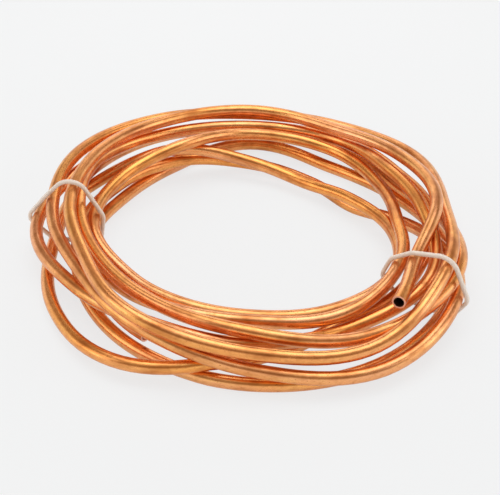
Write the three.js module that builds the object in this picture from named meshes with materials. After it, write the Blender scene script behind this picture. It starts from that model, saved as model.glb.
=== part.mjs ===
// Loose coil of soft copper tube, bound in two places by straps of clear plastic.
// Millimetres, +Z up. The coil lies flat on the floor at z = 0, with the z axis up through its hole.
// Angles are degrees anticlockwise from +X, seen from above.
import * as THREE from "three";

// Driving dimensions
const TUBE_OD = 6.35;
const TUBE_WALL = 0.76;
const TURN_GAP = 0.4; // least gap between two turns lying side by side
const INNER_LANE_RADIUS = 58; // from the coil's middle to the tube in lane 0
const STRAP_WIDTH = 2.2;
const STRAP_THICKNESS = 2;
const STRAP_EDGE = 0.6; // taken off each of a strap's four long edges
const STRAP_GAP = 0.4; // between a strap and the tube that it hugs
const STRAP_BOW_RADIUS = 8; // inside radius of a strap's tightest bend over the top of the bundle
const LIFT_FALLOFF = 4; // a higher power lets the bundle sink back to the floor closer to a strap
const LEFT_STRAP_ANGLE = 176;
const RIGHT_STRAP_ANGLE = 329;

// Where the tube runs, from its top end to its low end. Its place across the bundle is counted in
// lanes outwards from the coil's hole and in levels up from the floor, both one pitch apart. Each
// row is a turn with a station at every clock hour, from 0 degrees round to 330. The first row is
// the short stretch before the first whole turn, and the last row stops where the tube does.
const FIRST_STATION_ANGLE = -60;
const STATION_ANGLE = 30;
const TOP_END_ANGLE = -50; // the top end is cut off between the first two stations
const LANES = [
  [7.7, 4.4],
  [4.8, 4.5, 4.6, 6.2, 5.3, 4.4, 4.3, 4.5, 6.5, 6.9, 7.5, 6.6],
  [5.5, 6.4, 6.8, 7.1, 6.8, 6.6, 5.7, 4.9, 6.1, 7.1, 8.6, 7.7],
  [4.5, 0.7, 1.0, 2.2, 2.9, 3.2, 3.7, 4.5, 5.7, 7.0, 7.7, 7.0],
  [5.7, 4.3, 3.9, 5.7, 3.8, 3.0, 3.4, 2.4, 1.7, 1.9, 3.7, 3.3],
  [2.1, 2.8, 4.0, 3.3, 1.7, 2.6, 2.9, 1.3, 0.6, 0.7, 2.4, 2.9],
  [1.8, 0.2, 0.0, 1.1, 2.6, 6.0, 5.8, 7.1, 8.1, 5.6, 3.1, 3.9],
  [4.7, 4.4, 6.0, 6.2, 6.0, 5.7, 6.9, 5.4, 5.0, 5.0, 4.2, 5.6],
  [3.9, 3.4, 5.1, 5.2, 5.2, 5.0, 3.9, 3.3, 3.7, 5.4, 6.6, 7.5],
  [5.9, 4.3, 6.5, 7.2, 7.2, 6.0, 3.9, 3.9, 5.1],
];
const LEVELS = [
  [3.5, 2.75],
  [3.75, 3.5, 3.0, 2.75, 3.25, 3.75, 3.5, 3.5, 3.5, 2.25, 1.25, 2.75],
  [2.5, 2.5, 2.0, 2.0, 2.75, 3.0, 2.5, 2.5, 2.5, 1.25, 0.5, 1.25],
  [0.5, 0, 0, 0.25, 1.0, 0.75, 0.75, 0, 0, 0, 0, 0],
  [0, 0, 0, 0, 0, 0, 0, 0.25, 0.75, 1.0, 1.5, 2.0],
  [2.0, 1.5, 1.5, 2.25, 3.0, 2.0, 1.25, 0.5, 0.5, 0.5, 1.0, 1.0],
  [1.0, 1.0, 0.5, 1.0, 2.0, 0, 0, 0, 0.75, 1.0, 0, 0.25],
  [2.0, 2.0, 1.25, 1.25, 1.5, 1.75, 1.0, 1.25, 2.0, 1.5, 0.5, 1.75],
  [3.0, 3.0, 2.0, 2.0, 2.25, 2.75, 2.5, 2.25, 2.25, 2.5, 1.5, 2.0],
  [1.5, 1.0, 0.25, 0.5, 0.75, 1.0, 1.75, 1.25, 1.0],
];

// How the turns are eased apart where the stations would let them touch
const EASING_ROUNDS = 240;
const PLAIN_ROUNDS = 10; // the last rounds only push, and don't even out
const PUSH_SHARE = 0.3;
const EVENING_SHARE = 0.5;
const SLANT_ALLOWANCE = 1.06; // crossing turns come closer than they look at one angle

// Fineness
const SAMPLES_PER_TURN = 72;
const FACETS_PER_TURN = 40;
const OUTER_SIDES = 10;
const BORE_SIDES = 6;
const STRAP_CORNER_POINTS = 32;

const COPPER = new THREE.MeshStandardMaterial({
  name: "copper", color: 0xd98a55, metalness: 1, roughness: 0.25,
});
const CLEAR_PLASTIC = new THREE.MeshStandardMaterial({
  name: "clear_plastic", color: 0xe2d1c6, metalness: 0, roughness: 0.4, transparent: true, opacity: 0.6,
});

const radians = THREE.MathUtils.degToRad;
const tubeRadius = TUBE_OD / 2;
const boreRadius = tubeRadius - TUBE_WALL;
const pitch = TUBE_OD + TURN_GAP;
const lastStation = LANES.flat().length - 1;
const lowEndAngle = FIRST_STATION_ANGLE + STATION_ANGLE * lastStation;
const sampleAngle = 360 / SAMPLES_PER_TURN;

// Smooth value between evenly spaced values (Catmull-Rom), at a place counted along the list.
function between(values, place) {
  const last = values.length - 1;
  const i = Math.min(Math.max(Math.floor(place), 0), last - 1);
  const f = place - i;
  const [b, c] = [values[i], values[i + 1]];
  const a = i > 0 ? values[i - 1] : 2 * b - c;
  const d = i + 2 <= last ? values[i + 2] : 2 * c - b;
  return b + 0.5 * f * (c - a + f * (2 * a - 5 * b + 4 * c - d + f * (3 * (b - c) + d - a)));
}

// The straps pass under the bundle, so it is lifted over them, and lies on the floor in between.
function floorAt(angle) {
  const towards = [LEFT_STRAP_ANGLE, RIGHT_STRAP_ANGLE].map((strap) => Math.cos(radians(angle - strap)));
  return (STRAP_GAP + STRAP_THICKNESS) * Math.max(...towards) ** LIFT_FALLOFF;
}

// The tube's centre line, as {angle, place}. A place is a Vector2 of the distance from the coil's
// middle and the height.
function readRoute() {
  const lanes = LANES.flat();
  const levels = LEVELS.flat();
  const route = [];
  for (let angle = TOP_END_ANGLE; angle <= lowEndAngle; angle += sampleAngle) {
    const station = (angle - FIRST_STATION_ANGLE) / STATION_ANGLE;
    const level = Math.max(between(levels, station), 0);
    const radius = INNER_LANE_RADIUS + pitch * between(lanes, station);
    route.push({ angle, place: new THREE.Vector2(radius, tubeRadius + floorAt(angle) + pitch * level) });
  }
  return route;
}

// Pushes apart turns that pass closer than one pitch, and spreads each push along the tube.
function easeApart(route) {
  const least = pitch * SLANT_ALLOWANCE;
  let shifts = route.map(() => new THREE.Vector2());
  for (let round = 0; round < EASING_ROUNDS; round += 1) {
    const now = route.map(({ place }, i) => place.clone().add(shifts[i]));
    for (let apart = SAMPLES_PER_TURN; apart < route.length; apart += SAMPLES_PER_TURN) {
      for (let i = 0; i + apart < route.length; i += 1) {
        const across = now[i + apart].clone().sub(now[i]);
        const distance = Math.max(across.length(), 1e-6);
        const push = across.multiplyScalar((PUSH_SHARE * Math.max(least - distance, 0)) / distance);
        shifts[i].sub(push);
        shifts[i + apart].add(push);
      }
    }
    if (round < EASING_ROUNDS - PLAIN_ROUNDS) {
      shifts = shifts.map((shift, i) => {
        if (i === 0 || i === shifts.length - 1) return shift;
        const middle = shifts[i - 1].clone().add(shifts[i + 1]).multiplyScalar(0.5);
        return shift.clone().lerp(middle, EVENING_SHARE);
      });
    }
    route.forEach(({ angle, place }, i) => {
      shifts[i].y = Math.max(shifts[i].y, tubeRadius + floorAt(angle) - place.y);
    });
  }
  return route.map(({ angle, place }, i) => ({ angle, place: place.clone().add(shifts[i]) }));
}

// A curve that counts its length in samples, so that each facet of the sweep turns by the same angle.
class SampledCurve extends THREE.CatmullRomCurve3 {
  getPointAt(share, target) {
    return this.getPoint(share, target);
  }
  getTangentAt(share, target) {
    return this.getTangent(share, target);
  }
}

function circlePoints(count, radius, centre = new THREE.Vector2()) {
  return Array.from({ length: count }, (_, i) => {
    const turn = (2 * Math.PI * i) / count;
    return new THREE.Vector2(centre.x + radius * Math.cos(turn), centre.y + radius * Math.sin(turn));
  });
}

// One length of tube, open at both square-cut ends.
function makeTube(route) {
  const section = new THREE.Shape(circlePoints(OUTER_SIDES, tubeRadius));
  section.holes.push(new THREE.Path(circlePoints(BORE_SIDES, boreRadius)));
  const points = route.map(({ angle, place }) => new THREE.Vector3(
    place.x * Math.cos(radians(angle)), place.x * Math.sin(radians(angle)), place.y,
  ));
  const geometry = new THREE.ExtrudeGeometry(section, {
    steps: Math.round(((lowEndAngle - TOP_END_ANGLE) / 360) * FACETS_PER_TURN),
    extrudePath: new SampledCurve(points, false, "catmullrom", 0.5),
  });
  const tube = new THREE.Mesh(geometry, COPPER);
  tube.name = "copper_tube";
  return tube;
}

// Convex outline round a set of points, anticlockwise.
function outlineRound(points) {
  const sorted = [...points].sort((a, b) => a.x - b.x || a.y - b.y);
  const turnsLeft = (a, b, c) => (b.x - a.x) * (c.y - a.y) - (b.y - a.y) * (c.x - a.x) > 1e-9;
  const halfOutline = (list) => {
    const half = [];
    for (const point of list) {
      while (half.length > 1 && !turnsLeft(half.at(-2), half.at(-1), point)) half.pop();
      half.push(point);
    }
    return half.slice(0, -1);
  };
  return [...halfOutline(sorted), ...halfOutline(sorted.reverse())];
}

// The tube's places where it passes the middle and both edges of a strap.
function placesInStrap(route, strapAngle) {
  const radii = route.map(({ place }) => place.x);
  const heights = route.map(({ place }) => place.y);
  const toEdge = THREE.MathUtils.radToDeg(STRAP_WIDTH / 2 / INNER_LANE_RADIUS);
  const places = [];
  for (let angle = strapAngle - 360; angle < lowEndAngle; angle += 360) {
    for (const at of [angle - toEdge, angle, angle + toEdge]) {
      if (at < TOP_END_ANGLE || at > lowEndAngle) continue;
      const sample = (at - TOP_END_ANGLE) / sampleAngle;
      places.push(new THREE.Vector2(between(radii, sample), between(heights, sample)));
    }
  }
  return places;
}

// The circle that a strap bends round where it passes one tube. Under the bundle this is the tube
// itself. Over the top the strap is too stiff for that, so the more a tube lies above the bundle's
// middle and not beside it, the more its circle grows, from the tube's outer side towards the middle.
function bendRound(place, middle) {
  const inwards = middle.clone().sub(place);
  const distance = inwards.length();
  const overTop = Math.max(-inwards.y / distance, 0);
  const growth = Math.min((STRAP_BOW_RADIUS - STRAP_GAP - tubeRadius) * overTop, distance);
  return { centre: place.clone().addScaledVector(inwards, growth / distance), radius: tubeRadius + growth };
}

// A closed band with bevelled edges, drawn tight round the bundle in the upright plane at one angle.
function makeStrap(name, route, strapAngle) {
  const places = placesInStrap(route, strapAngle);
  const middle = new THREE.Box2().setFromPoints(places).getCenter(new THREE.Vector2());
  const bends = places.map((place) => bendRound(place, middle));
  const outlineAt = (offset) => outlineRound(
    bends.flatMap(({ centre, radius }) => circlePoints(STRAP_CORNER_POINTS, radius + offset, centre)),
  );
  const section = new THREE.Shape(outlineAt(STRAP_GAP + STRAP_THICKNESS));
  section.holes.push(new THREE.Path(outlineAt(STRAP_GAP)));
  const flatWidth = STRAP_WIDTH - 2 * STRAP_EDGE;
  const geometry = new THREE.ExtrudeGeometry(section, {
    depth: flatWidth, bevelThickness: STRAP_EDGE, bevelSize: STRAP_EDGE, bevelOffset: -STRAP_EDGE,
    bevelSegments: 1,
  });
  geometry.translate(0, 0, -flatWidth / 2);
  geometry.rotateX(Math.PI / 2);
  geometry.rotateZ(radians(strapAngle));
  const strap = new THREE.Mesh(geometry, CLEAR_PLASTIC);
  strap.name = name;
  return strap;
}

const route = easeApart(readRoute());
const coil = new THREE.Group();
coil.add(makeTube(route));
coil.add(makeStrap("left_strap", route, LEFT_STRAP_ANGLE));
coil.add(makeStrap("right_strap", route, RIGHT_STRAP_ANGLE));

// The origin is under the middle of the coil's box, on the floor.
const box = new THREE.Box3().setFromObject(coil);
const middle = box.getCenter(new THREE.Vector3());
coil.position.set(-middle.x, -middle.y, -box.min.z);

export default coil;
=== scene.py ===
# %% [markdown]
# # A loose coil of copper tube
#
# One length of soft copper tube, wound by hand into a ring and held by two clear plastic straps.
# The CAD model already has every piece at its real size, but with flat facets. This file dresses it:
# a round tube along the same route, rounded straps, and materials that look like drawn copper and
# milky plastic. Each step has a few words first, then a short cell that makes one thing and prints
# what it made.

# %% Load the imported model
import math

import bmesh
import bpy
import numpy as np
from mathutils import Matrix, Vector, noise


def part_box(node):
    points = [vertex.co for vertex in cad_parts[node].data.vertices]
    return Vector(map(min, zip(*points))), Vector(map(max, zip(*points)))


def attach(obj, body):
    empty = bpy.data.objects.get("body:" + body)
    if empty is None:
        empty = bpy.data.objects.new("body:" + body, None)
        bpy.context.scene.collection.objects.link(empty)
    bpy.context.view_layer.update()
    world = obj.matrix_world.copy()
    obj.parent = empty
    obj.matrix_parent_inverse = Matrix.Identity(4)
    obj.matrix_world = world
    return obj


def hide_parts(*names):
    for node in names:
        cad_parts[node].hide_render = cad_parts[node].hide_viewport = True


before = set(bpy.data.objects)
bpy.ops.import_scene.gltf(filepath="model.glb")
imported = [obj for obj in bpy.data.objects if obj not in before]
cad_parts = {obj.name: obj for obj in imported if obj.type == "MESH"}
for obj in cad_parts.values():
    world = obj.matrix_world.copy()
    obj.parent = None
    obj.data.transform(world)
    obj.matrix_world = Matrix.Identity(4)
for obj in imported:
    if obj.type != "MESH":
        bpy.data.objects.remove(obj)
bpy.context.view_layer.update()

MM = 0.001

# %% [markdown]
# ## The tube's route
#
# A hand-wound coil isn't a neat helix: the turns wander in and out and climb over each other. The
# route is written down the way one would read it off the real coil, at every clock hour of every
# turn. A lane counts outwards from the coil's hole and a level counts up from the floor, both in
# steps of one tube and the gap beside it. These are the CAD model's own values.

# %% Sizes of the tube and the coil, in millimetres and degrees
TUBE_RADIUS = 6.35 / 2
TUBE_WALL = 0.76
TURN_GAP = 0.4
PITCH = 2 * TUBE_RADIUS + TURN_GAP
INNER_LANE_RADIUS = 58
STRAP_WIDTH = 2.2
STRAP_THICKNESS = 2
STRAP_GAP = 0.4
STRAP_BOW_RADIUS = 8  # inside the bend over the very top, where a strap bows the most
LIFT_FALLOFF = 4  # a higher power lets the tube sink back to the floor closer to a strap
LEFT_STRAP_ANGLE = 176
RIGHT_STRAP_ANGLE = 329
print("Tube", 2 * TUBE_RADIUS, "mm outside, bore", round(2 * (TUBE_RADIUS - TUBE_WALL), 2), "mm")

# %% [markdown]
# The stations start just before the tube's upper end. The first two of each list lead in, and after
# them each row is one turn, the last one not complete. A formula for a helix would need fewer
# numbers, but it could only give a neat coil.

# %% Stations of the route
FIRST_STATION_ANGLE = -60
STATION_ANGLE = 30
TOP_END_ANGLE = -50
LANES = [
    7.7, 4.4,
    4.8, 4.5, 4.6, 6.2, 5.3, 4.4, 4.3, 4.5, 6.5, 6.9, 7.5, 6.6,
    5.5, 6.4, 6.8, 7.1, 6.8, 6.6, 5.7, 4.9, 6.1, 7.1, 8.6, 7.7,
    4.5, 0.7, 1.0, 2.2, 2.9, 3.2, 3.7, 4.5, 5.7, 7.0, 7.7, 7.0,
    5.7, 4.3, 3.9, 5.7, 3.8, 3.0, 3.4, 2.4, 1.7, 1.9, 3.7, 3.3,
    2.1, 2.8, 4.0, 3.3, 1.7, 2.6, 2.9, 1.3, 0.6, 0.7, 2.4, 2.9,
    1.8, 0.2, 0.0, 1.1, 2.6, 6.0, 5.8, 7.1, 8.1, 5.6, 3.1, 3.9,
    4.7, 4.4, 6.0, 6.2, 6.0, 5.7, 6.9, 5.4, 5.0, 5.0, 4.2, 5.6,
    3.9, 3.4, 5.1, 5.2, 5.2, 5.0, 3.9, 3.3, 3.7, 5.4, 6.6, 7.5,
    5.9, 4.3, 6.5, 7.2, 7.2, 6.0, 3.9, 3.9, 5.1,
]
LEVELS = [
    3.5, 2.75,
    3.75, 3.5, 3.0, 2.75, 3.25, 3.75, 3.5, 3.5, 3.5, 2.25, 1.25, 2.75,
    2.5, 2.5, 2.0, 2.0, 2.75, 3.0, 2.5, 2.5, 2.5, 1.25, 0.5, 1.25,
    0.5, 0, 0, 0.25, 1.0, 0.75, 0.75, 0, 0, 0, 0, 0,
    0, 0, 0, 0, 0, 0, 0, 0.25, 0.75, 1.0, 1.5, 2.0,
    2.0, 1.5, 1.5, 2.25, 3.0, 2.0, 1.25, 0.5, 0.5, 0.5, 1.0, 1.0,
    1.0, 1.0, 0.5, 1.0, 2.0, 0, 0, 0, 0.75, 1.0, 0, 0.25,
    2.0, 2.0, 1.25, 1.25, 1.5, 1.75, 1.0, 1.25, 2.0, 1.5, 0.5, 1.75,
    3.0, 3.0, 2.0, 2.0, 2.25, 2.75, 2.5, 2.25, 2.25, 2.5, 1.5, 2.0,
    1.5, 1.0, 0.25, 0.5, 0.75, 1.0, 1.75, 1.25, 1.0,
]
LOW_END_ANGLE = FIRST_STATION_ANGLE + STATION_ANGLE * (len(LANES) - 1)
print("The tube goes round", round((LOW_END_ANGLE - TOP_END_ANGLE) / 360, 2), "times")


# %% [markdown]
# The stations are joined by a Catmull-Rom curve, which passes through every one of them. Where a
# strap passes under the bundle, the tube lies higher, by the strap's thickness and its gap.

# %% Read the route at every few degrees
SAMPLES_PER_TURN = 72


def between(values, places):
    """Smooth values between evenly spaced ones, at places counted along the list."""
    values = np.asarray(values, dtype=float)
    places = np.asarray(places, dtype=float)
    first = np.clip(np.floor(places).astype(int), 0, len(values) - 2)
    part = places - first
    padded = np.concatenate([[2 * values[0] - values[1]], values, [2 * values[-1] - values[-2]]])
    a, b, c, d = (padded[first + step] for step in range(4))
    return b + 0.5 * part * (c - a + part * (2 * a - 5 * b + 4 * c - d + part * (3 * (b - c) + d - a)))


def floor_at(angles):
    """Height of what the tube lies on: the floor, or the strap that passes under the bundle."""
    left = np.cos(np.radians(angles - LEFT_STRAP_ANGLE))
    right = np.cos(np.radians(angles - RIGHT_STRAP_ANGLE))
    return (STRAP_GAP + STRAP_THICKNESS) * np.maximum(left, right) ** LIFT_FALLOFF


angles = np.arange(TOP_END_ANGLE, LOW_END_ANGLE + 1, 360 / SAMPLES_PER_TURN)
stations = (angles - FIRST_STATION_ANGLE) / STATION_ANGLE
lowest = TUBE_RADIUS + floor_at(angles)
places = np.stack([
    INNER_LANE_RADIUS + PITCH * between(LANES, stations),
    lowest + PITCH * np.maximum(between(LEVELS, stations), 0),
], axis=1)
print(len(places), "samples, radius and height in mm")

# %% [markdown]
# Stations read off one by one would let some turns sink into each other. A few rounds of easing mend
# that: each round pushes apart the turns that pass too close at the same angle, then shares each push
# with its neighbours along the tube, because a real tube can't be kinked aside in one spot.

# %% Ease the turns apart
EASING_ROUNDS = 240
PLAIN_ROUNDS = 10
PUSH_SHARE = 0.3
EVENING_SHARE = 0.5
SLANT_ALLOWANCE = 1.06  # turns that cross at a slant are closer than their places at one angle say
SAME_PLACE = 1e-6

least = PITCH * SLANT_ALLOWANCE
shifts = np.zeros_like(places)
for easing_round in range(EASING_ROUNDS):
    now = places + shifts
    for apart in range(SAMPLES_PER_TURN, len(places), SAMPLES_PER_TURN):
        across = now[apart:] - now[:-apart]
        distance = np.maximum(np.linalg.norm(across, axis=1), SAME_PLACE)
        push = across * (PUSH_SHARE * np.maximum(least - distance, 0) / distance)[:, None]
        shifts[:-apart] -= push
        shifts[apart:] += push
    if easing_round < EASING_ROUNDS - PLAIN_ROUNDS:
        middles = (shifts[:-2] + shifts[2:]) / 2
        shifts[1:-1] += EVENING_SHARE * (middles - shifts[1:-1])
    shifts[:, 1] = np.maximum(shifts[:, 1], lowest - places[:, 1])
places = places + shifts
print("Furthest that a turn was eased:", round(float(np.abs(shifts).max()), 2), "mm")

# %% [markdown]
# ## The straps
#
# A strap pulled tight takes the shortest way round the bundle. That is the convex hull of all the
# tubes that pass through it, so the hull operator does the work: a round slice stands at each
# crossing, one hull is wrapped round them all, and its two flat sides are thrown away. A real strap
# is springy and bows over the top instead of hugging each tube there, so the upper slices are bigger
# than the tube. What is left is a thin band, which gets its thickness and rounded edges at the end.

# %% Slices, hull and band
SLICE_SIDES = 72
FLAT_SIDE_NORMAL = 0.5  # a flat side's normal has a y of 1 or -1, the band's own faces have one of 0


def crossings(strap_angle):
    """Radius and height of the tube each time it passes the middle or an edge of a strap."""
    to_edge = math.degrees(STRAP_WIDTH / 2 / INNER_LANE_RADIUS)
    middles = np.arange(strap_angle - 360, LOW_END_ANGLE, 360)
    passes = np.concatenate([middles - to_edge, middles, middles + to_edge])
    passes = passes[(passes >= TOP_END_ANGLE) & (passes <= LOW_END_ANGLE)]
    samples = (passes - TOP_END_ANGLE) * SAMPLES_PER_TURN / 360
    return np.stack([between(places[:, 0], samples), between(places[:, 1], samples)], axis=1)


def bends(crossed):
    """Middle and radius of the circle that a strap bends round, for each tube that it crosses."""
    inwards = (crossed.min(axis=0) + crossed.max(axis=0)) / 2 - crossed
    distance = np.linalg.norm(inwards, axis=1)
    over_top = np.maximum(-inwards[:, 1] / distance, 0)
    growth = np.minimum((STRAP_BOW_RADIUS - STRAP_GAP - TUBE_RADIUS) * over_top, distance)
    middles = crossed + inwards * (growth / distance)[:, None]
    return zip(middles, TUBE_RADIUS + growth)


def wrap_band(strap_angle):
    """The strap's outer skin in millimetres, as an open band without thickness."""
    band = bmesh.new()
    upright = Matrix.Rotation(math.pi / 2, 4, "X")
    for (out, up), bend in bends(crossings(strap_angle)):
        for side in (-STRAP_WIDTH / 2, STRAP_WIDTH / 2):
            bmesh.ops.create_circle(
                band, segments=SLICE_SIDES, radius=bend + STRAP_GAP + STRAP_THICKNESS,
                matrix=Matrix.Translation((out, side, up)) @ upright,
            )
    hull = bmesh.ops.convex_hull(band, input=band.verts)
    unused = set(hull["geom_interior"] + hull["geom_unused"])
    spare = [item for item in unused if isinstance(item, bmesh.types.BMVert)]
    bmesh.ops.delete(band, geom=spare, context="VERTS")
    flat_sides = [face for face in band.faces if abs(face.normal.y) > FLAT_SIDE_NORMAL]
    bmesh.ops.delete(band, geom=flat_sides, context="FACES_ONLY")
    loose = [edge for edge in band.edges if not edge.link_faces]
    bmesh.ops.delete(band, geom=loose, context="EDGES")
    turned = Matrix.Rotation(math.radians(strap_angle), 3, "Z")
    bmesh.ops.rotate(band, verts=band.verts, matrix=turned)
    return band


bands = {
    "left_strap": wrap_band(LEFT_STRAP_ANGLE),
    "right_strap": wrap_band(RIGHT_STRAP_ANGLE),
}
for node, band in bands.items():
    print(node, "band has", len(band.faces), "faces")

# %% [markdown]
# The CAD model was moved sideways, so that its box is centred on the origin. The same strap made
# here and there tells by how much: the difference between the middles of their two boxes.

# %% Find how far the CAD coil was moved
own = np.array([vert.co for vert in bands["right_strap"].verts])
cad_strap = np.array(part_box("right_strap")) / MM
moved = (cad_strap[0] + cad_strap[1] - own.min(axis=0) - own.max(axis=0)) / 2
moved[2] = 0
to_row = Matrix.Scale(MM, 4) @ Matrix.Translation(moved)
print("The coil was moved by", moved.round(2), "mm")

# %% [markdown]
# A band becomes a strap in three steps. Points that lie almost together are merged, so that no
# sliver folds over itself. Solidify gives the band its thickness, inwards. Then its four long edges
# are bevelled round, because plastic has no edge so sharp that it would stay dark. A real strap also
# has a joint somewhere, but it isn't in view, so the band is closed.

# %% Close the bands
STRAP_EDGE = 0.8
STRAP_EDGE_STEPS = 3
SHORTEST_EDGE = 0.25
LONG_EDGE_ANGLE = math.radians(60)
SHARP_ANGLE = math.radians(40)


def keep(mesh, name):
    """A finished bmesh becomes a mesh object that rides on the coil's one body, shaded smooth."""
    data = bpy.data.meshes.new(name)
    mesh.to_mesh(data)
    mesh.free()
    data.shade_smooth()
    data.set_sharp_from_angle(angle=SHARP_ANGLE)
    piece = bpy.data.objects.new(name, data)
    bpy.context.collection.objects.link(piece)
    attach(piece, "root")
    return piece


def close_band(band):
    """Gives the band its thickness inwards and rounds its four long edges."""
    bmesh.ops.remove_doubles(band, verts=band.verts, dist=SHORTEST_EDGE)
    bmesh.ops.recalc_face_normals(band, faces=band.faces)
    bmesh.ops.solidify(band, geom=band.faces, thickness=STRAP_THICKNESS)
    bmesh.ops.recalc_face_normals(band, faces=band.faces)
    long_edges = [edge for edge in band.edges if edge.calc_face_angle(0) > LONG_EDGE_ANGLE]
    bmesh.ops.bevel(
        band, geom=long_edges, offset=STRAP_EDGE, segments=STRAP_EDGE_STEPS,
        profile=0.5, affect="EDGES", material=-1,
    )
    bmesh.ops.transform(band, matrix=to_row, verts=band.verts)
    return band


straps = []
for node, band in bands.items():
    strap = keep(close_band(band), node + "_band")
    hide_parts(node)
    straps.append(strap)
    print(strap.name, [round(side / MM, 1) for side in strap.dimensions], "mm")

# %% [markdown]
# ## The tube
#
# A tube is a ring that is pushed along its route. A curve with a round bevel would make it too, but
# then no ring could have a shape of its own, and nothing would say where a point lies along the
# tube. So the route is cut into close steps first, one for each ring.

# %% Points along the centre line
RINGS_PER_TURN = 144
LAST_RING_SLACK = 0.001  # degrees, so that the last ring isn't lost to rounding

ring_angles = np.arange(TOP_END_ANGLE, LOW_END_ANGLE + LAST_RING_SLACK, 360 / RINGS_PER_TURN)
samples = (ring_angles - TOP_END_ANGLE) * SAMPLES_PER_TURN / 360
samples_xyz = np.stack([
    places[:, 0] * np.cos(np.radians(angles)),
    places[:, 0] * np.sin(np.radians(angles)),
    places[:, 1],
], axis=1)
centre_line = np.stack([between(samples_xyz[:, axis], samples) for axis in range(3)], axis=1)
steps = np.diff(centre_line, axis=0)
along = np.concatenate([[0], np.cumsum(np.linalg.norm(steps, axis=1))])
points = [Vector(point) for point in centre_line]
print("Tube length:", round(along[-1] * MM, 2), "m in", len(points), "rings")

# %% [markdown]
# The ring starts as a circle, and each step extrudes its edge and moves the new ring to the next
# point. The frames are carried along without twist, so the grain that the drawing die left stays on
# its side of the tube. Hand-bent soft tube is never quite round, so each ring is squeezed a little,
# in a direction that wanders.

# %% Rings
RING_SIDES = 24
SQUEEZE = 0.012  # at most this share wider one way and narrower the other
SQUEEZE_LENGTH = 35
LEAN_LENGTH = 3 * SQUEEZE_LENGTH
SQUEEZE_LINE = 5  # where the noise is read for the squeeze, away from where it is for the lean


def tangent(i):
    """Direction of the tube at ring i."""
    return (points[min(i + 1, len(points) - 1)] - points[max(i - 1, 0)]).normalized()


def ring_matrices():
    """A matrix for each ring that puts a unit circle in place, without twist from ring to ring."""
    turn = Vector((0, 0, 1)).rotation_difference(tangent(0))
    matrices = []
    for i, point in enumerate(points):
        turn = (turn @ Vector((0, 0, 1))).rotation_difference(tangent(i)) @ turn
        lean = math.tau * noise.noise(Vector((along[i] / LEAN_LENGTH, 0, 0)))
        squeeze = SQUEEZE * noise.noise(Vector((along[i] / SQUEEZE_LENGTH, SQUEEZE_LINE, 0)))
        wide = TUBE_RADIUS * (1 + squeeze)
        narrow = TUBE_RADIUS * (1 - squeeze)
        squash = Matrix.Diagonal((wide, narrow, 1, 1))
        oval = Matrix.Rotation(lean, 4, "Z") @ squash @ Matrix.Rotation(-lean, 4, "Z")
        matrices.append(Matrix.Translation(point) @ turn.to_matrix().to_4x4() @ oval)
    return matrices


def sweep(matrices):
    """An open skin along the rings. Its layer "straight" has each point's place on the straight tube."""
    skin = bmesh.new()
    straight = skin.verts.layers.float_vector.new("straight")
    ring = bmesh.ops.create_circle(skin, segments=RING_SIDES, radius=1)["verts"]
    for vert in ring:
        vert[straight] = (vert.co.x * TUBE_RADIUS * MM, vert.co.y * TUBE_RADIUS * MM, 0)
    edges = list(skin.edges)
    bmesh.ops.transform(skin, matrix=matrices[0], verts=ring)
    for i in range(1, len(matrices)):
        step = bmesh.ops.extrude_edge_only(skin, edges=edges)["geom"]
        ring = [item for item in step if isinstance(item, bmesh.types.BMVert)]
        edges = [item for item in step if isinstance(item, bmesh.types.BMEdge)]
        bmesh.ops.transform(skin, matrix=matrices[i] @ matrices[i - 1].inverted(), verts=ring)
        for vert in ring:
            vert[straight].z = along[i] * MM
    return skin


tube_skin = sweep(ring_matrices())
print("Skin:", len(tube_skin.faces), "faces")

# %% [markdown]
# The skin is still a paper-thin hose. Solidify gives it the real wall, inwards, and closes both
# ends with the flat ring that a saw or a cutter leaves. Those two rings get a material of their
# own, because fresh-cut copper is pinker and duller than the drawn outside.

# %% Wall and cut ends
OUTSIDE, CUT_END, BORE = range(3)
FLAT_WITHIN = 0.01  # the corners of a cut end's face lie at one length of the tube, within this

straight = tube_skin.verts.layers.float_vector["straight"]
bmesh.ops.recalc_face_normals(tube_skin, faces=tube_skin.faces)
wall = bmesh.ops.solidify(tube_skin, geom=tube_skin.faces, thickness=TUBE_WALL)["geom"]
inner = {item for item in wall if isinstance(item, bmesh.types.BMFace)}
for face in tube_skin.faces:
    lengths = [vert[straight].z for vert in face.verts]
    if max(lengths) - min(lengths) < FLAT_WITHIN * MM:
        face.material_index = CUT_END
    elif face in inner:
        face.material_index = BORE
bmesh.ops.recalc_face_normals(tube_skin, faces=tube_skin.faces)
bmesh.ops.transform(tube_skin, matrix=to_row, verts=tube_skin.verts)
tube = keep(tube_skin, "copper_tube_skin")
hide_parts("copper_tube")
kinds = [face.material_index for face in tube.data.polygons]
counts = [kinds.count(kind) for kind in (OUTSIDE, CUT_END, BORE)]
print("Faces outside, on the cut ends, in the bore:", counts)

# %% [markdown]
# ## Camera
#
# The coil is seen from above the front edge of a table, quite close, so the front turns look
# thicker than the ones behind. The camera is set by what it looks at, how high it stands and how
# far away it is.

# %% Camera
AIM = Vector((0, -16, 12))
CAMERA_HEIGHT_ANGLE = 35.5
CAMERA_DISTANCE = 625
LENS = 92.88
SENSOR_WIDTH = 36
NEAREST_SEEN = 10

camera = bpy.data.objects.new("camera", bpy.data.cameras.new("camera"))
bpy.context.collection.objects.link(camera)
bpy.context.scene.camera = camera
height_angle = math.radians(CAMERA_HEIGHT_ANGLE)
backwards = Vector((0, -math.cos(height_angle), math.sin(height_angle)))
camera.location = to_row @ (AIM + CAMERA_DISTANCE * backwards)
camera.rotation_euler = (-backwards).to_track_quat("-Z", "Y").to_euler()
camera.data.lens = LENS
camera.data.sensor_width = SENSOR_WIDTH
camera.data.clip_start = NEAREST_SEEN * MM
print("Camera at", [round(value, 3) for value in camera.location], "m")

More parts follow.
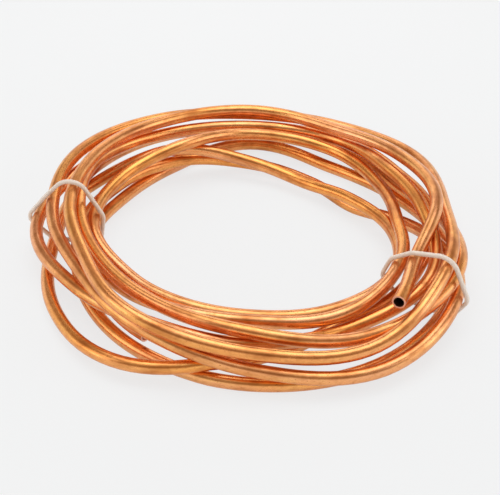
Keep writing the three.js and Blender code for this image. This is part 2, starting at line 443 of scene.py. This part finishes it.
# %% [markdown]
# ## Light
#
# Bare metal shows its surroundings more than its own colour, so the light is really a room: a big
# soft panel overhead, a pale floor, and a warm brown stretch of wall that draws the dark line along
# each tube. An image of a room could serve as the world, but a colour ramp from straight down to
# straight up needs no file, and each of its bands can be moved. First come two helpers, which make
# the nodes of the world and of every material here, and the nodes that say how far up a ray looks.

# %% Node helpers, and how far up a ray looks
def new_nodes(owner):
    """Empties a material's or a world's node tree and returns it."""
    owner.use_nodes = True
    tree = owner.node_tree
    tree.nodes.clear()
    return tree


def add(tree, kind, inputs=None, **settings):
    """Adds a node. An input's value is a plain value, or the socket of another node."""
    node = tree.nodes.new(kind)
    for name, value in settings.items():
        setattr(node, name, value)
    for name, value in (inputs or {}).items():
        if isinstance(value, bpy.types.NodeSocket):
            tree.links.new(value, node.inputs[name])
        else:
            node.inputs[name].default_value = value
    return node


world = bpy.data.worlds.new("studio")
bpy.context.scene.world = world
tree = new_nodes(world)
direction = add(tree, "ShaderNodeTexCoord").outputs["Generated"]
height = add(tree, "ShaderNodeSeparateXYZ", {"Vector": direction}).outputs["Z"]
upward = add(tree, "ShaderNodeMapRange", {"Value": height, "From Min": -1.0}).outputs["Result"]
print("Nodes up to now:", [node.name for node in tree.nodes])

# %% [markdown]
# The ramp turns that height into the room: a pale floor below the horizon, a pale lower wall, the
# brown stretch, and a white ceiling. Reflections see it, and the camera sees a plain pale backdrop
# in its place, as if the coil stood in front of a sheet of paper. The light path node says which
# kind of ray asks.

# %% World
def ramp(tree, value, stops):
    """A colour ramp over (position, colour) stops."""
    node = add(tree, "ShaderNodeValToRGB", {"Fac": value})
    elements = node.color_ramp.elements
    while len(elements) < len(stops):
        elements.new(1)
    for element, (position, colour) in zip(elements, stops):
        element.position = position
        element.color = (*colour, 1)
    return node.outputs["Color"]


def grey(value):
    """A colour without a tint."""
    return (value, value, value)


BACKDROP = grey(0.896)
BROWN_WALL = (0.30, 0.20, 0.13)
ROOM = [  # from straight down at 0, past the horizon at 0.5, to straight up at 1
    (0.00, grey(0.85)), (0.50, grey(0.92)), (0.64, grey(0.92)),
    (0.74, BROWN_WALL), (0.90, BROWN_WALL), (0.97, grey(0.92)), (1.00, grey(1.0)),
]

light_path = add(tree, "ShaderNodeLightPath")
room_light = add(tree, "ShaderNodeBackground", {"Color": ramp(tree, upward, ROOM), "Strength": 1.0})
backdrop = add(tree, "ShaderNodeBackground", {"Color": (*BACKDROP, 1), "Strength": 1.0})
seen = add(tree, "ShaderNodeMixShader", {
    "Fac": light_path.outputs["Is Camera Ray"], 1: room_light.outputs[0], 2: backdrop.outputs[0],
})
add(tree, "ShaderNodeOutputWorld", {"Surface": seen.outputs[0]})
print("World nodes:", len(tree.nodes))

# %% [markdown]
# The lamps are soft panels, because a small hard lamp would leave a white dot on every tube. The
# one overhead does most of the lighting. One at each side lifts the tube's flanks, and a faint one
# close behind the coil draws a bright line beside the dark one.

# %% Lamps
PANELS = [  # name, place and size in metres, power in watts
    ("top_panel", (0, 0.25, 1.0), (1.1, 0.8), 3.5),
    ("back_panel", (0, 0.36, 0.21), (0.30, 0.12), 0.11),
    ("left_panel", (-1.1, -0.2, 0.6), (0.6, 0.9), 2.0),
    ("right_panel", (1.1, -0.1, 0.6), (0.6, 0.9), 2.0),
]


def add_panel(name, place, size, watts):
    """A soft panel that faces the middle of the coil."""
    lamp = bpy.data.lights.new(name, "AREA")
    lamp.shape = "RECTANGLE"
    lamp.size, lamp.size_y = size
    lamp.energy = watts
    panel = bpy.data.objects.new(name, lamp)
    panel.location = place
    panel.rotation_euler = (-Vector(place)).to_track_quat("-Z", "Y").to_euler()
    bpy.context.collection.objects.link(panel)
    return panel


panels = [add_panel(*panel) for panel in PANELS]
print("Panels:", [panel.name for panel in panels])

# %% [markdown]
# ## Floor
#
# The floor is a large pale plane. To the camera, in reflections and through the straps it partly
# shines by itself, so that it has one even tone, and the rest of it is lit for real, which keeps a
# soft shadow. In reflections the real share is larger: the copper then mirrors the dark floor under
# the coil, which gives the gaps between the turns their depth.

# %% Floor
FLOOR_REACH = 3.0  # metres
PAPER = (0.911, 0.927, 0.937)
SEEN_LIT_SHARE = 0.2
MIRRORED_LIT_SHARE = 0.6

sheet = bmesh.new()
bmesh.ops.create_grid(sheet, x_segments=1, y_segments=1, size=FLOOR_REACH)
floor_data = bpy.data.meshes.new("floor")
sheet.to_mesh(floor_data)
sheet.free()
floor = bpy.data.objects.new("floor", floor_data)
bpy.context.collection.objects.link(floor)

paper = bpy.data.materials.new("pale_floor")
tree = new_nodes(paper)
light_path = add(tree, "ShaderNodeLightPath")
glow = add(tree, "ShaderNodeEmission", {"Color": (*PAPER, 1)})
lit = add(tree, "ShaderNodeBsdfDiffuse", {"Color": (*PAPER, 1)})
lit_share = add(tree, "ShaderNodeMapRange", {
    "Value": light_path.outputs["Is Camera Ray"],
    "To Min": MIRRORED_LIT_SHARE, "To Max": SEEN_LIT_SHARE,
}).outputs["Result"]
shown = add(tree, "ShaderNodeMixShader", {"Fac": lit_share, 1: glow.outputs[0], 2: lit.outputs[0]})
straight_rays = add(tree, "ShaderNodeMath", {
    0: light_path.outputs["Is Camera Ray"], 1: light_path.outputs["Is Glossy Ray"],
}, operation="MAXIMUM")
seen_rays = add(tree, "ShaderNodeMath", {
    0: straight_rays.outputs[0], 1: light_path.outputs["Is Transmission Ray"],
}, operation="MAXIMUM")
either = add(tree, "ShaderNodeMixShader", {
    "Fac": seen_rays.outputs[0], 1: lit.outputs[0], 2: shown.outputs[0],
})
add(tree, "ShaderNodeOutputMaterial", {"Surface": either.outputs[0]})
floor_data.materials.append(paper)
print("Floor", 2 * FLOOR_REACH, "m wide")

# %% [markdown]
# ## Copper
#
# Drawn and annealed copper is bright but not a mirror, and no two hand-widths of it have quite the
# same colour. Pinker and redder stretches take turns, golden blooms and long faint lines from the
# drawing die lie over them, and the annealing oven and hands leave brown clouds, freckles and specks.
# A painted image would have to be unwrapped and would repeat over five metres. So each of these is a
# noise at its own scale that blends in one more tint. All of them read the layer that was kept while
# sweeping, so they run along the tube however it bends.

# %% Patterns on the tube
PATTERNS = {  # repeats in each metre round the tube and along it, and the noise's detail
    "stretches": (60, 9, 2),
    "patches": (150, 60, 5),
    "blooms": (120, 40, 4),
    "streaks": (650, 25, 3),
    "freckles": (450, 260, 4),
    "specks": (1500, 900, 1),
}
NOISE_ROUGHNESS = 0.6


def stretched(tree, per_metre_round, per_metre_along):
    """Coordinates on the straightened tube, counted apart round it and along it."""
    straight = add(tree, "ShaderNodeAttribute", attribute_name="straight").outputs["Vector"]
    return add(tree, "ShaderNodeMapping", {
        "Vector": straight, "Scale": (per_metre_round, per_metre_round, per_metre_along),
    }).outputs["Vector"]


def cloudy(tree, vector, detail):
    """Noise between 0 and 1 at the scale of its coordinates."""
    return add(tree, "ShaderNodeTexNoise", {
        "Vector": vector, "Scale": 1.0, "Detail": detail, "Roughness": NOISE_ROUGHNESS,
    }).outputs["Fac"]


copper = bpy.data.materials.new("copper")
tree = new_nodes(copper)
patterns = {
    name: cloudy(tree, stretched(tree, per_metre_round, per_metre_along), detail)
    for name, (per_metre_round, per_metre_along, detail) in PATTERNS.items()
}
print("Patterns:", list(patterns))

# %% [markdown]
# The tints are a table too, and a loop lays each over the ones before it, as a painter would. The
# patches also make the shine uneven, and the streaks are raised a little, as drawing lines are. A
# thin film of drawing oil is left on top: the shader's coat, whose reflections are white and take
# some of the yellow out of the shine.

# %% Copper of the drawn surface
COPPER_CLEAN = (0.98, 0.41, 0.10)
COPPER_GOLDEN = (1.0, 0.56, 0.17)
COPPER_PINK = (0.98, 0.47, 0.23)
COPPER_STAINED = (0.50, 0.145, 0.03)
COPPER_FRECKLED = (0.64, 0.24, 0.07)
TINTS = [  # pattern, the noise where its tint starts and where it is full, its full share, the tint
    ("stretches", 0.38, 0.62, 1.0, COPPER_CLEAN),
    ("blooms", 0.50, 0.72, 0.5, COPPER_GOLDEN),
    ("streaks", 0.52, 0.74, 0.6, COPPER_GOLDEN),
    ("freckles", 0.48, 0.70, 0.5, COPPER_FRECKLED),
    ("patches", 0.48, 0.72, 0.8, COPPER_STAINED),
    ("specks", 0.68, 0.76, 0.8, COPPER_STAINED),
]
SMOOTHEST = 0.22
ROUGHEST = 0.34
LINE_STRENGTH = 0.08
LINE_HEIGHT = 0.1
FILM_WEIGHT = 0.15
FILM_ROUGHNESS = 0.3


def share(tree, value, none_at, all_at, most):
    """Turns noise into the share of a tint: nothing below one level, the most above another."""
    return ramp(tree, value, [(none_at, grey(0)), (all_at, grey(most))])


def blend(tree, amount, first, second):
    """From one colour to another, by a share."""
    node = add(tree, "ShaderNodeMix", {"Factor": amount}, data_type="RGBA")
    for socket, colour in ((node.inputs[6], first), (node.inputs[7], second)):
        if isinstance(colour, bpy.types.NodeSocket):
            tree.links.new(colour, socket)
        else:
            socket.default_value = (*colour, 1)
    return node.outputs[2]


tint = COPPER_PINK
for name, none_at, all_at, most, over in TINTS:
    tint = blend(tree, share(tree, patterns[name], none_at, all_at, most), tint, over)
roughness = add(tree, "ShaderNodeMapRange", {
    "Value": patterns["patches"], "To Min": SMOOTHEST, "To Max": ROUGHEST,
}).outputs["Result"]
lines = add(tree, "ShaderNodeBump", {
    "Height": patterns["streaks"], "Strength": LINE_STRENGTH, "Distance": LINE_HEIGHT * MM,
})
shader = add(tree, "ShaderNodeBsdfPrincipled", {
    "Base Color": tint, "Metallic": 1.0, "Roughness": roughness, "Normal": lines.outputs["Normal"],
    "Coat Weight": FILM_WEIGHT, "Coat Roughness": FILM_ROUGHNESS,
})
add(tree, "ShaderNodeOutputMaterial", {"Surface": shader.outputs["BSDF"]})
tube.data.materials.append(copper)
print("Copper nodes:", len(tree.nodes))

# %% [markdown]
# The cut ends are fresh metal, pinker and duller than the drawn outside, and slightly mottled by the
# cutter. They could have the copper's own material, but then the rim round the bore would be hard
# to see, and it is what shows that this is a tube and not a rod.

# %% Cut ends
CUT_LIGHT = (1.0, 0.70, 0.55)
CUT_DARK = (0.98, 0.57, 0.43)
CUT_ROUGHNESS = 0.5
CUT_PER_METRE = 1500
CUT_DETAIL = 3

cut_copper = bpy.data.materials.new("cut_copper")
tree = new_nodes(cut_copper)
mottle = cloudy(tree, stretched(tree, CUT_PER_METRE, CUT_PER_METRE), CUT_DETAIL)
tint = blend(tree, mottle, CUT_LIGHT, CUT_DARK)
shader = add(tree, "ShaderNodeBsdfPrincipled", {
    "Base Color": tint, "Metallic": 1.0, "Roughness": CUT_ROUGHNESS,
})
add(tree, "ShaderNodeOutputMaterial", {"Surface": shader.outputs["BSDF"]})
tube.data.materials.append(cut_copper)
print("Cut end nodes:", len(tree.nodes))

# %% [markdown]
# The bore is painted dark, as painted shade, because little light finds its way back out of a tube. Only
# at the low end does this painted shade start a few millimetres in, so that the mouth keeps the fresh
# colour of the cut and darkens inwards. The layer "straight" gives the depth there, as the tube's length
# less the way from the top end.

# %% Bore
# Painted shade inside the tube, brown and black mottled together.
BORE_SHADE_BROWN = (0.10, 0.03, 0.015)
BORE_SHADE_BLACK = (0.03, 0.01, 0.006)
BORE_PER_METRE = 400
BORE_DETAIL = 3
BORE_METAL = 0.2
BORE_ROUGHNESS = 0.6
# Depths from the low end, in millimetres, where the painted shade starts and where it is full.
SHADE_START_DEPTH = 5
FULL_SHADE_DEPTH = 9

bore = bpy.data.materials.new("painted_shade_bore")
tree = new_nodes(bore)
straight = add(tree, "ShaderNodeAttribute", attribute_name="straight").outputs["Vector"]
from_top_end = add(tree, "ShaderNodeSeparateXYZ", {"Vector": straight}).outputs["Z"]
depth = add(tree, "ShaderNodeMath", {
    0: along[-1] * MM, 1: from_top_end,
}, operation="SUBTRACT").outputs[0]
shade_by_depth = add(tree, "ShaderNodeMapRange", {
    "Value": depth, "From Min": SHADE_START_DEPTH * MM, "From Max": FULL_SHADE_DEPTH * MM,
}).outputs["Result"]
mottle = cloudy(tree, stretched(tree, BORE_PER_METRE, BORE_PER_METRE), BORE_DETAIL)
bore_shade = blend(tree, mottle, BORE_SHADE_BROWN, BORE_SHADE_BLACK)
shader = add(tree, "ShaderNodeBsdfPrincipled", {
    "Base Color": blend(tree, shade_by_depth, CUT_DARK, bore_shade),
    "Metallic": BORE_METAL, "Roughness": BORE_ROUGHNESS,
})
add(tree, "ShaderNodeOutputMaterial", {"Surface": shader.outputs["BSDF"]})
tube.data.materials.append(bore)
print("Tube materials:", [material.name for material in tube.data.materials])

# %% [markdown]
# ## Clear plastic
#
# The straps are plastic without any dye. Thin as they are, they look milky rather than clear, and a
# little warm, because copper shines through them: a share of that comes through for real, and the rest
# is painted light, a warm tint in their colour. Most of the light is scattered by the plastic itself,
# and only a share of it passes through. Clear glass would be the simpler shader, but it would leave the
# straps almost unseen.

# %% Milky plastic
# Part of the warm tint in this colour is painted light, the glow of the copper round the strap.
MILKY_WITH_COPPER_GLOW = (1.0, 0.92, 0.83)
CLEARNESS = 0.12
PLASTIC_IOR = 1.5
HAZE_PER_METRE = 900
HAZE_DETAIL = 2
HAZE_SMOOTHEST = 0.32
HAZE_ROUGHEST = 0.5
RIPPLE_STRENGTH = 0.1
RIPPLE_HEIGHT = 0.1

plastic = bpy.data.materials.new("clear_plastic")
tree = new_nodes(plastic)
place = add(tree, "ShaderNodeTexCoord").outputs["Object"]
haze = add(tree, "ShaderNodeTexNoise", {
    "Vector": place, "Scale": HAZE_PER_METRE, "Detail": HAZE_DETAIL,
}).outputs["Fac"]
haze_roughness = add(tree, "ShaderNodeMapRange", {
    "Value": haze, "To Min": HAZE_SMOOTHEST, "To Max": HAZE_ROUGHEST,
}).outputs["Result"]
ripple = add(tree, "ShaderNodeBump", {
    "Height": haze, "Strength": RIPPLE_STRENGTH, "Distance": RIPPLE_HEIGHT * MM,
})
shader = add(tree, "ShaderNodeBsdfPrincipled", {
    "Base Color": (*MILKY_WITH_COPPER_GLOW, 1), "Roughness": haze_roughness, "IOR": PLASTIC_IOR,
    "Transmission Weight": CLEARNESS, "Normal": ripple.outputs["Normal"],
})
add(tree, "ShaderNodeOutputMaterial", {"Surface": shader.outputs["BSDF"]})
for strap in straps:
    strap.data.materials.append(plastic)
print("Plastic nodes:", len(tree.nodes))

# %% [markdown]
# ## The view
#
# Colours are shown through Blender's standard view transform.

# %% Standard view
bpy.context.scene.view_settings.view_transform = "Standard"
